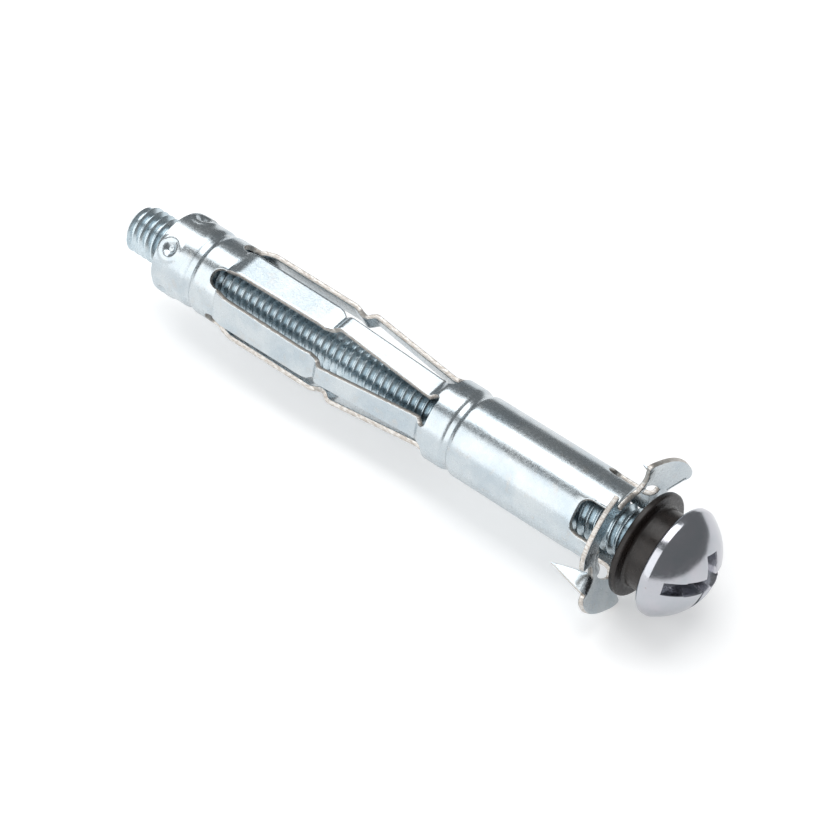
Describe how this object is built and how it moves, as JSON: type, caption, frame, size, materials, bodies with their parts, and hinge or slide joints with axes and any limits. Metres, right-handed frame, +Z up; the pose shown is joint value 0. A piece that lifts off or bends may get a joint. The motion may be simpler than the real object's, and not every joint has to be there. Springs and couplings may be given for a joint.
{
  "type": "hollow wall anchor",
  "caption": "Expanding hollow-wall anchor: a zinc-plated steel sleeve with folding legs and a spiked flange, on a domed-head machine screw with a dark washer.",
  "frame": {"origin": "on the screw's axis, in the plane of the flange's wall-side face", "axes": "+X along the screw toward its head and away from the wall; the wall fills x < 0; +Z up"},
  "size_m": [0.0829, 0.0182, 0.018],
  "materials": {
    "zinc_sheet": "bright zinc plated",
    "zinc_screw": "bright zinc plated",
    "zinc_nut": "zinc plated",
    "dark_washer": "glossy dark brown"
  },
  "bodies": {
    "sleeve": {"collar": "zinc_sheet"},
    "leg_1_front": {"leg_1_front": "zinc_sheet"},
    "leg_1_rear": {"leg_1_rear": "zinc_sheet"},
    "leg_2_front": {"leg_2_front": "zinc_sheet"},
    "leg_2_rear": {"leg_2_rear": "zinc_sheet"},
    "leg_3_front": {"leg_3_front": "zinc_sheet"},
    "leg_3_rear": {"leg_3_rear": "zinc_sheet"},
    "leg_4_front": {"leg_4_front": "zinc_sheet"},
    "leg_4_rear": {"leg_4_rear": "zinc_sheet"},
    "leg_5_front": {"leg_5_front": "zinc_sheet"},
    "leg_5_rear": {"leg_5_rear": "zinc_sheet"},
    "tail": {"tail_ring": "zinc_sheet", "nut_insert": "zinc_nut"},
    "washer": {"washer": "dark_washer"},
    "screw": {"screw": "zinc_screw"}
  },
  "joints": [
    {"name": "legs_fold", "type": "hinge", "parent": "sleeve", "child": "leg_1_front", "pos_m": [-0.0256, 0.0042, 0.00161], "axis": [0, 0.3584, -0.9336], "range_deg": [0, 72]},
    {"name": "leg_1_elbow", "type": "hinge", "parent": "leg_1_front", "child": "leg_1_rear", "pos_m": [-0.0404, 0.00443, 0.0017], "axis": [0, 0.3584, -0.9336], "range_deg": [-144, 0]},
    {"name": "leg_2_fold", "type": "hinge", "parent": "sleeve", "child": "leg_2_front", "pos_m": [-0.0256, -0.00024, 0.00449], "axis": [0, 0.9986, 0.0523], "range_deg": [0, 72]},
    {"name": "leg_2_elbow", "type": "hinge", "parent": "leg_2_front", "child": "leg_2_rear", "pos_m": [-0.0404, -0.00025, 0.00474], "axis": [0, 0.9986, 0.0523], "range_deg": [-144, 0]},
    {"name": "leg_3_fold", "type": "hinge", "parent": "sleeve", "child": "leg_3_front", "pos_m": [-0.0256, -0.00435, 0.00116], "axis": [0, 0.2588, 0.9659], "range_deg": [0, 72]},
    {"name": "leg_3_elbow", "type": "hinge", "parent": "leg_3_front", "child": "leg_3_rear", "pos_m": [-0.0404, -0.00459, 0.00123], "axis": [0, 0.2588, 0.9659], "range_deg": [-144, 0]},
    {"name": "leg_4_fold", "type": "hinge", "parent": "sleeve", "child": "leg_4_front", "pos_m": [-0.0256, -0.00245, -0.00377], "axis": [0, -0.8387, 0.5446], "range_deg": [0, 72]},
    {"name": "leg_4_elbow", "type": "hinge", "parent": "leg_4_front", "child": "leg_4_rear", "pos_m": [-0.0404, -0.00259, -0.00398], "axis": [0, -0.8387, 0.5446], "range_deg": [-144, 0]},
    {"name": "leg_5_fold", "type": "hinge", "parent": "sleeve", "child": "leg_5_front", "pos_m": [-0.0256, 0.00283, -0.0035], "axis": [0, -0.7771, -0.6293], "range_deg": [0, 72]},
    {"name": "leg_5_elbow", "type": "hinge", "parent": "leg_5_front", "child": "leg_5_rear", "pos_m": [-0.0404, 0.00299, -0.00369], "axis": [0, -0.7771, -0.6293], "range_deg": [-144, 0]},
    {"name": "tail_bend", "type": "hinge", "parent": "leg_1_rear", "child": "tail", "pos_m": [-0.0552, 0.0042, 0.00161], "axis": [0, 0.3584, -0.9336], "range_deg": [0, 72]},
    {"name": "screw_feed", "type": "slide", "parent": "sleeve", "child": "washer", "axis": [-1, 0, 0], "range_m": [-0.007, 0.0017]},
    {"name": "screw_turn", "type": "hinge", "parent": "washer", "child": "screw", "pos_m": [0, 0, 0], "axis": [-1, 0, 0], "range_deg": [-2521, 613]}
  ],
  "couplings": [
    {"joint": "leg_1_elbow", "follows": "legs_fold", "ratio": -2},
    {"joint": "leg_2_fold", "follows": "legs_fold", "ratio": 1},
    {"joint": "leg_2_elbow", "follows": "legs_fold", "ratio": -2},
    {"joint": "leg_3_fold", "follows": "legs_fold", "ratio": 1},
    {"joint": "leg_3_elbow", "follows": "legs_fold", "ratio": -2},
    {"joint": "leg_4_fold", "follows": "legs_fold", "ratio": 1},
    {"joint": "leg_4_elbow", "follows": "legs_fold", "ratio": -2},
    {"joint": "leg_5_fold", "follows": "legs_fold", "ratio": 1},
    {"joint": "leg_5_elbow", "follows": "legs_fold", "ratio": -2},
    {"joint": "tail_bend", "follows": "legs_fold", "ratio": 1},
    {"joint": "screw_turn", "follows": "screw_feed", "rad_per_m": 6283.2}
  ]
}
